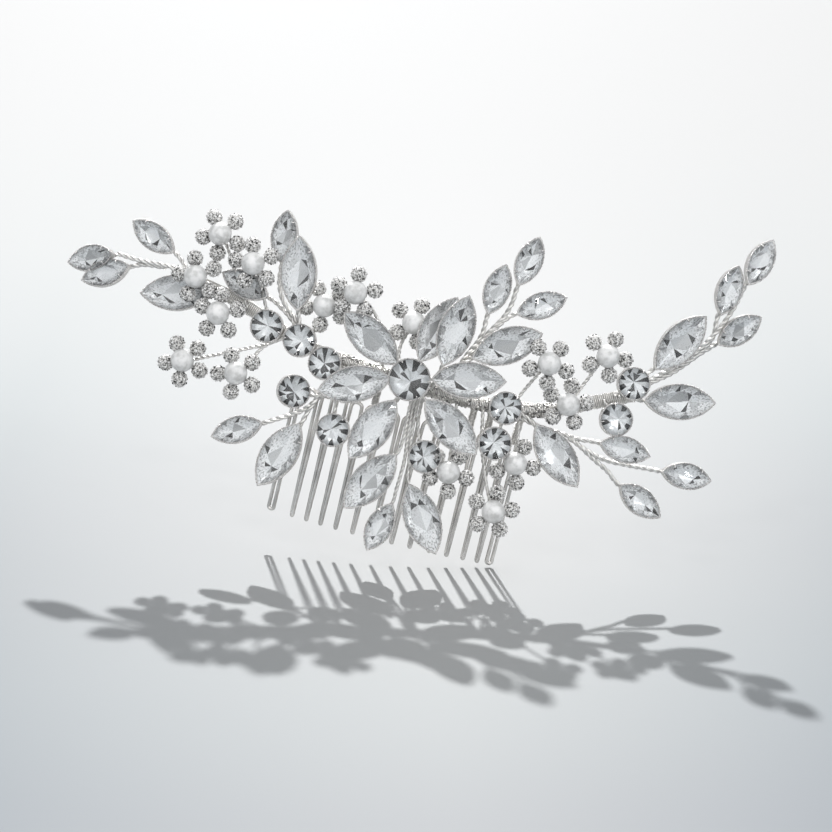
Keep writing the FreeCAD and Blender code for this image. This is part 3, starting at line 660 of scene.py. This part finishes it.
def add_bead(shape, seat, place, radius, tint):
    """Small ball of metal, such as a claw's tip or one grain of a milled rim."""
    points = [(0, 0, radius), (0, 0, -radius)]
    for level, z in ((0.78, 0.62), (1.0, 0.0), (0.78, -0.62)):
        start = FULL_TURN / 12 if level < 1 else 0.0
        points += [(x, y, radius * z) for x, y in circle(6, radius * level, start)]
    faces = []
    for k in range(6):
        after = (k + 1) % 6
        faces += [(2 + k, 2 + after, 0), (14 + after, 14 + k, 1)]
    for k in range(6):
        after = (k + 1) % 6
        faces += [(8 + k, 8 + after, 2 + k), (2 + k, 8 + after, 2 + after)]
        faces += [(8 + after, 8 + k, 14 + k), (8 + after, 14 + k, 14 + after)]
    shape.add(points, faces, tint, seat @ Matrix.Translation(Vector(place)))


def milled_rim(shape, seat, outline, z):
    """Row of fine grains along the top of a setting's wall."""
    ring = np.array(outline + outline[:1])
    run = np.concatenate([[0], np.cumsum(np.linalg.norm(np.diff(ring, axis=0), axis=1))])
    count = int(run[-1] / (2 * GRAIN_RADIUS))
    for i in range(count):
        at = run[-1] * i / count
        x, y = (np.interp(at, run, ring[:, k]) for k in range(2))
        add_bead(shape, seat, (x, y, z), GRAIN_RADIUS, grey(random.uniform(0.45, 1.0)))


def claw(shape, seat, x, y, z, inward):
    """Claw that bends over a crystal's edge, as a short finger with a ball at its tip."""
    start = np.array([x, y, z - 0.5])
    way = np.array([inward[0], inward[1], 0.0])
    line = [start, start + [0, 0, 0.6], start + way * 0.22 + [0, 0, 0.85], start + way * 0.5 + [0, 0, 0.98]]
    local = Shape()
    curve, _ = resample(line, 0.12)
    add_tube(local, curve, CLAW_RADIUS, STRAND_CORNERS, grey(0.95))
    shape.add(local.points, local.faces, local.tints, seat)
    add_bead(shape, seat, tuple(line[-1]), CLAW_TIP_RADIUS, grey(1.0))


def crystal_pieces(node, setting):
    """Glass, foil, milled rim and claws of every crystal of one node."""
    glass, back, trim = Shape(), Shape(), Shape()
    for points, triangles in solids_of(node):
        seat, length, width, depth = stone_seat(points, triangles)
        girdle = depth - CROWN
        if length > 1.2 * width:
            navette_stone(glass, back, seat, length, width, depth)
            rim = navette_outline(length + 0.6, width + 0.34, 48)
            radius = (length**2 + width**2) / (4 * width)
            for share, sign in ((0.3, 1), (0.3, -1), (-0.3, 1), (-0.3, -1)):
                x = share * length
                y = sign * (math.sqrt(radius**2 - x**2) - radius + width / 2 + 0.1)
                claw(trim, seat, x, y, girdle, (-0.4 * share, -sign))
        else:
            round_stone(glass, back, seat, length, depth)
            rim = circle(48, length / 2 + 0.17)
            claws = 4 if length < 7 else 6
            for x, y in circle(claws, start=math.pi / claws):
                claw(trim, seat, x * (length / 2 + 0.12), y * (length / 2 + 0.12), girdle, (-x, -y))
        milled_rim(trim, seat, rim, girdle + 0.02)
    slot = "round_crystal" if "round" in node or "centre" in node else "navette_crystal"
    glass.piece(f"{node}_glass", GLASS, slot, node)
    back.piece(f"{node}_foil", FOIL, slot, node)
    trim.piece(f"{setting}_rim_and_claws", CLAW, "setting_metal", smooth=True)


def all_crystals():
    """Crystals of every node, each with the setting that holds it."""
    for node in sorted(NODES):
        if "crystal" in node:
            crystal_pieces(node, node.replace("crystal", "setting"))


# ---------------------------------------------------------------- flowers

PAVE_COUNT, PAVE_DEPTH = 46, 0.1  # stones in a bead, and how deep under its CAD surface the cement lies
# painted reflections: most tiny stones white, some painted grey or near black
PAVE_PAINTED_TINTS = (0.04, 0.4, 0.95, 1.0, 1.0, 1.0, 1.0)
GOLDEN_ANGLE = math.pi * (3 - math.sqrt(5))


def tiny_stone(shape, middle, outward, radius, tint):
    """Faceted chip set flush in a bead: a six-sided cone cut off by a small table."""
    turn = Vector(outward).to_track_quat("Z", "Y") @ Quaternion((0, 0, 1), random.uniform(0, 1))
    seat = Matrix.Translation(Vector(middle)) @ turn.to_matrix().to_4x4()
    points = []
    for share, z in ((1.0, -0.12), (1.0, 0.0), (0.55, 0.14)):
        points += [(x, y, z) for x, y in circle(6, share * radius)]
    faces, tones = [], []
    for k in range(6):
        after = (k + 1) % 6
        faces += [(k, after, 6 + after, 6 + k), (6 + k, 6 + after, 12 + after, 12 + k)]
        # painted facet shading: the side a little darker, the upper facets of random lightness
        tones += [grey(tint * 0.8), grey(tint * random.uniform(0.5, 1.1))]
    faces += [tuple(12 + k for k in range(6)), tuple(5 - k for k in range(6))]
    tones += [grey(tint), grey(tint)]
    shape.add(points, faces, tones, seat)


def pave_bead(core, stones, middle, radius):
    """Ball of cement set all over with tiny stones in a spiral."""
    rows, columns = 8, 14
    inner = radius - PAVE_DEPTH
    points = [tuple(middle + np.array([0, 0, inner])), tuple(middle - np.array([0, 0, inner]))]
    for i in range(1, rows):
        tilt = math.pi * i / rows
        for x, y in circle(columns, math.sin(tilt)):
            points.append(tuple(middle + inner * np.array([x, y, math.cos(tilt)])))
    faces = []
    last = 2 + (rows - 2) * columns
    for k in range(columns):
        after = (k + 1) % columns
        faces += [(0, 2 + k, 2 + after), (1, last + after, last + k)]
        for i in range(rows - 2):
            a, b = 2 + i * columns + k, 2 + i * columns + after
            faces.append((a, a + columns, b + columns, b))
    core.add(points, faces, grey(1.0))
    spin = random.uniform(0, FULL_TURN)
    for i in range(PAVE_COUNT):
        z = 1 - (2 * i + 1) / PAVE_COUNT
        flat = math.sqrt(1 - z * z)
        angle = spin + GOLDEN_ANGLE * i
        way = np.array([flat * math.cos(angle), z, flat * math.sin(angle)])
        tint = random.choice(PAVE_PAINTED_TINTS)
        tiny_stone(stones, middle + way * inner, way, random.uniform(0.22, 0.3), tint)


def flower_pieces():
    """Pave beads of both sides; the pearls keep their CAD shape."""
    for side in ("left", "right"):
        core, stones = Shape(), Shape()
        for points, _ in solids_of(f"{side}_flower_beads"):
            middle, radius = ball_of(points)
            pave_bead(core, stones, middle, radius)
        core.piece(f"{side}_bead_cores", CEMENT, "pave", f"{side}_flower_beads", smooth=True)
        stones.piece(f"{side}_bead_stones", PAVE, "pave")


# ---------------------------------------------------------------- wires

BAND_PITCH = 0.42
BAND_LEAN = np.array([0.0, 0.21, 0.98])  # direction across the band's face, close to the spray's backward lean


def stem_pieces():
    """Every stem as two wires twisted together."""
    for node in sorted(NODES):
        if node.endswith("_stems"):
            shape = Shape()
            for points, triangles in solids_of(node):
                line, radius = centre_line(points, triangles)
                add_twist(shape, line, 1.05 * radius, 6 * radius)
            shape.piece(f"{node}_twisted", STEM, "stem_wire", node, smooth=True)


def band_line():
    """Middle line of the flat band, the run along it, and the directions across it and out of its face."""
    points, _ = solids_of("band")[0]
    step = 2.0
    middles = []
    for x in np.arange(points[:, 0].min() + step / 2, points[:, 0].max(), step):
        near = points[np.abs(points[:, 0] - x) < step / 2]
        if len(near) > 3:
            middles.append((near.min(axis=0) + near.max(axis=0)) / 2)
    curve, run = resample(middles, BAND_PITCH / 14)
    along = np.gradient(curve, axis=0)
    along /= np.linalg.norm(along, axis=1)[:, None]
    outward = np.cross(along, BAND_LEAN)
    outward /= np.linalg.norm(outward, axis=1)[:, None]
    return curve, run, np.cross(outward, along), outward


def add_band_winding(shape, half_width, half_depth, wire, low, high):
    """Fine wire wound flat round the band wherever its middle lies outside low to high."""
    curve, run, across, outward = band_line()
    for keep in (curve[:, 0] < low, curve[:, 0] > high):
        phase = FULL_TURN * run[keep] / BAND_PITCH
        beat = (1 + 0.05 * np.sin(run[keep] * 3.1))[:, None]
        offset = np.cos(phase)[:, None] * across[keep] * half_width * beat
        offset += np.sin(phase)[:, None] * outward[keep] * half_depth * beat
        add_tube(shape, curve[keep] + offset, wire, FINE_WIRE_CORNERS, grey(0.95))


def add_crust(shape, line, radius, count):
    """Small grains of metal scattered over the winding round a line."""
    curve, _ = resample(line, 0.1)
    u, v = turning_frames(curve)
    for _ in range(count):
        i = random.randrange(len(curve))
        angle = random.uniform(0, FULL_TURN)
        way = math.cos(angle) * u[i] + math.sin(angle) * v[i]
        size = random.uniform(0.2, 0.36)
        tint = grey(random.choice((0.25, 0.5, 0.8, 1.0, 1.0)))
        add_bead(shape, Matrix(), tuple(curve[i] + way * radius), size, tint)


def lashing_pieces():
    """Fine wire wound round the band and the posts, with grains of metal round the band's middle."""
    wound = Shape()
    line, radius = centre_line(*solids_of("band_wrap")[0])
    add_coil(wound, line, radius - 0.2, wire=0.17, pitch=0.37, wobble=0.05)
    add_crust(wound, line, radius - 0.1, count=900)
    low, high = line[0][0], line[-1][0]
    add_band_winding(wound, half_width=1.42, half_depth=0.5, wire=0.15, low=low, high=high)
    wound.piece("band_winding", LASHING, "lashing_wire", "band_wrap", smooth=True)
    posts = Shape()
    for points, triangles in solids_of("comb_posts"):
        line, radius = centre_line(points, triangles)
        add_coil(posts, line, radius + 0.13, wire=0.15, pitch=0.33, wobble=0.06, start=0.2, stop=0.97)
    posts.piece("post_winding", LASHING, "lashing_wire", "post_lashing", smooth=True)


KEPT = {
    "comb_wire": STEEL,
    "comb_posts": STEEL,
    "band": BAND,
    "left_pearls": PEARL,
    "right_pearls": PEARL,
    "left_flower_frames": SETTING,
    "right_flower_frames": SETTING,
}


def kept_nodes():
    """Better materials for the CAD nodes that stay."""
    for name, obj in NODES.items():
        material = SETTING if "setting" in name else KEPT.get(name)
        if material:
            for slot in obj.material_slots:
                slot.material = material


# ---------------------------------------------------------------- camera, floor and light

VIEW_ELEVATION, VIEW_ROLL, VIEW_DISTANCE = math.radians(12), math.radians(14), 0.493
VIEW_TARGET = Vector((0.0005, 0, 0))
LENS, SENSOR = 100, 36


def camera():
    """Long lens on the decorated face, a little above it and rolled so that the spray falls to the right."""
    back = Vector((0, -math.cos(VIEW_ELEVATION), math.sin(VIEW_ELEVATION)))
    across = Vector((1, 0, 0))
    upright = back.cross(across)
    right = across * math.cos(VIEW_ROLL) + upright * math.sin(VIEW_ROLL)
    up = upright * math.cos(VIEW_ROLL) - across * math.sin(VIEW_ROLL)
    data = bpy.data.cameras.new("camera")
    data.lens, data.sensor_width = LENS, SENSOR
    data.clip_start, data.clip_end = 0.01, 20
    obj = bpy.data.objects.new("camera", data)
    turn = Matrix((right, up, back)).transposed().to_4x4()
    obj.matrix_world = Matrix.Translation(VIEW_TARGET + back * VIEW_DISTANCE) @ turn
    bpy.context.scene.collection.objects.link(obj)
    bpy.context.scene.camera = obj


def area_light(name, place, target, size, power, colour):
    """Soft rectangular light aimed at a point."""
    data = bpy.data.lights.new(name, "AREA")
    data.shape, data.size, data.size_y = "RECTANGLE", size[0], size[1]
    data.energy, data.color = power, colour
    obj = bpy.data.objects.new(name, data)
    obj.location = place
    obj.rotation_euler = (Vector(target) - Vector(place)).to_track_quat("-Z", "Y").to_euler()
    bpy.context.scene.collection.objects.link(obj)


FLOOR_SLOPES = 0.145, 0.05  # rise to the right and to the back
FLOOR_REACH, FLOOR_STEPS = 6.0, 12
TEETH_CLEARANCE = 0.0003
FLOOR_LIGHTNESS = 0.405
# painted shade: the floor in front is painted one even, darker tone
FLOOR_NEAR = (0.62, 0.63, 0.64, 1)  # even tone of the floor in front
FLOOR_EVEN = -0.34, -0.14  # metres back where the even tone has fully taken over, and where it starts
# shape of the painted pool of light on the floor
POOL_SLANT, POOL_DRIFT, POOL_MIDDLE = 0.4, 0.05, 0.015
POOL_HALF_WIDTH, POOL_WIDENING, POOL_FALLOFF = 0.1, 0.08, 1.4
# the painted pool of light on the floor: (metres back, colour along its middle, share of it left at its sides)
FLOOR_PAINTED_LIGHT_POOL = [
    (-0.15, (0.572, 0.590, 0.618, 1), (0.603, 0.661, 0.712, 1)),
    (-0.11, (0.664, 0.694, 0.705, 1), (0.592, 0.636, 0.684, 1)),
    (-0.07, (0.736, 0.763, 0.769, 1), (0.620, 0.664, 0.702, 1)),
    (-0.02, (0.805, 0.816, 0.817, 1), (0.629, 0.665, 0.697, 1)),
    (0.05, (0.885, 0.885, 0.885, 1), (0.671, 0.707, 0.732, 1)),
    (0.13, (0.923, 0.923, 0.923, 1), (0.764, 0.814, 0.828, 1)),
    (0.22, (0.930, 0.930, 0.930, 1), (0.850, 0.882, 0.890, 1)),
    (0.35, (0.906, 0.906, 0.906, 1), (0.940, 0.959, 0.959, 1)),
    (0.7, (0.881, 0.881, 0.881, 1), (0.998, 0.998, 0.998, 1)),
    (1.6, (0.858, 0.858, 0.858, 1), (1, 1, 1, 1)),
]


def floor_material():
    """Pale floor with a broad painted pool of light behind the comb, and painted shade, darker and cooler, in
    front and at both sides.
    """
    material, nodes, links, shader = new_material("pale_floor", Roughness=0.6, IOR=1.3, Specular_IOR_Level=0.1)
    where = node_of(nodes, "ShaderNodeTexCoord")
    split = node_of(nodes, "ShaderNodeSeparateXYZ")
    links.new(where.outputs["Object"], split.inputs["Vector"])

    def maths(kind, first, second):
        made = node_of(nodes, "ShaderNodeMath", operation=kind)
        for socket, value in zip(made.inputs, (first, second)):
            if isinstance(value, (int, float)):
                socket.default_value = value
            else:
                links.new(value, socket)
        return made.outputs["Value"]

    # the painted pool of light lies a little askew, and widens and drifts to the left towards the back
    right, back = split.outputs["X"], split.outputs["Y"]
    along = maths("SUBTRACT", back, maths("MULTIPLY", right, POOL_SLANT))
    off_middle = maths("ADD", right, maths("SUBTRACT", maths("MULTIPLY", back, POOL_DRIFT), POOL_MIDDLE))
    width = maths("ADD", maths("MULTIPLY", back, POOL_WIDENING), POOL_HALF_WIDTH)
    share = maths("DIVIDE", maths("ABSOLUTE", off_middle, 0), maths("MAXIMUM", width, POOL_HALF_WIDTH / 2))
    sideways = maths("POWER", share, POOL_FALLOFF)
    first, last = FLOOR_PAINTED_LIGHT_POOL[0][0], FLOOR_PAINTED_LIGHT_POOL[-1][0]
    places = [(row[0] - first) / (last - first) for row in FLOOR_PAINTED_LIGHT_POOL]
    middle, edge = (
        colour_ramp(nodes, links, along, first, last, [(at, row[k]) for at, row in zip(places, FLOOR_PAINTED_LIGHT_POOL)])
        for k in (1, 2)
    )
    pool = times(nodes, links, middle, fade_from(nodes, links, sideways, WHITE, edge))
    # in front of the comb the floor turns evenly pale, a painted shade darker than the pool behind
    inside = colour_ramp(nodes, links, back, *FLOOR_EVEN, [(0.0, BLACK), (1.0, WHITE)])
    scaled = node_of(nodes, "ShaderNodeVectorMath", operation="SCALE", Scale=FLOOR_LIGHTNESS)
    links.new(fade_from(nodes, links, inside, FLOOR_NEAR, pool), scaled.inputs[0])
    links.new(scaled.outputs["Vector"], shader.inputs["Base Color"])
    return material


def lay_floor():
    """Pale floor just under the teeth, leaning with the shadow in the photograph."""
    teeth_low, teeth_high = (Vector(corner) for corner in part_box("comb_wire"))
    across = [FLOOR_REACH * (2 * i / FLOOR_STEPS - 1) for i in range(FLOOR_STEPS + 1)]
    row = FLOOR_STEPS + 1
    squares = [i * row + j for i in range(FLOOR_STEPS) for j in range(FLOOR_STEPS)]
    mesh = bpy.data.meshes.new("floor")
    mesh.from_pydata(
        [(x, y, 0.0) for x in across for y in across],
        [],
        [(k, k + row, k + row + 1, k + 1) for k in squares],
    )
    mesh.materials.append(floor_material())
    rise, run = FLOOR_SLOPES
    upward = Vector((-rise, -run, 1)).normalized()
    backward = (Vector((0, 1, 0)) - upward * upward.y).normalized()
    turn = Matrix((backward.cross(upward), backward, upward)).transposed().to_4x4()
    level = teeth_low.z - TEETH_CLEARANCE - teeth_high.x * rise - teeth_high.y * run
    floor = bpy.data.objects.new("floor", mesh)
    floor.matrix_world = Matrix.Translation((0, 0, level)) @ turn
    bpy.context.scene.collection.objects.link(floor)


def surround():
    """Pale surround, brightest in front of the comb and dimmer behind it and far to the sides."""
    world = bpy.data.worlds.new("studio")
    world.use_nodes = True
    bpy.context.scene.world = world
    nodes, links = world.node_tree.nodes, world.node_tree.links
    where = node_of(nodes, "ShaderNodeTexCoord")
    split = node_of(nodes, "ShaderNodeSeparateXYZ")
    links.new(where.outputs["Generated"], split.inputs["Vector"])
    bright, dim = (0.99, 0.995, 1.0, 1), (0.74, 0.745, 0.75, 1)
    front_to_back = colour_ramp(nodes, links, split.outputs["Y"], -1, 1, [(0.0, bright), (0.9, dim)])
    sideways = node_of(nodes, "ShaderNodeMath", operation="ABSOLUTE")
    links.new(split.outputs["X"], sideways.inputs[0])
    stops = [(0.4, WHITE), (0.8, (0.75, 0.75, 0.76, 1)), (1.0, (0.55, 0.55, 0.55, 1))]
    sides = colour_ramp(nodes, links, sideways.outputs["Value"], 0, 1, stops)
    background = nodes["Background"]
    background.inputs["Strength"].default_value = 1.3
    links.new(times(nodes, links, front_to_back, sides), background.inputs["Color"])


def lamps():
    """One lamp high behind the comb that casts the shadow, and two small area lights in front."""
    sun = bpy.data.lights.new("back_light", "SUN")
    sun.energy, sun.angle = 6.0, math.radians(1.6)
    lamp = bpy.data.objects.new("back_light", sun)
    lamp.rotation_euler = Vector((0.255, -1, -0.93)).to_track_quat("-Z", "Y").to_euler()
    bpy.context.scene.collection.objects.link(lamp)
    middle = (0, 0, 0.01)
    area_light("key_light", (-0.25, -0.6, 0.6), middle, (0.08, 0.06), 0.6, (1, 0.99, 0.98))
    area_light("fill_light", (0.45, -0.5, 0.4), middle, (0.06, 0.08), 0.4, (0.96, 0.98, 1))


all_crystals()
flower_pieces()
stem_pieces()
lashing_pieces()
kept_nodes()
camera()
lay_floor()
surround()
lamps()
bpy.context.scene.view_settings.view_transform = "Standard"
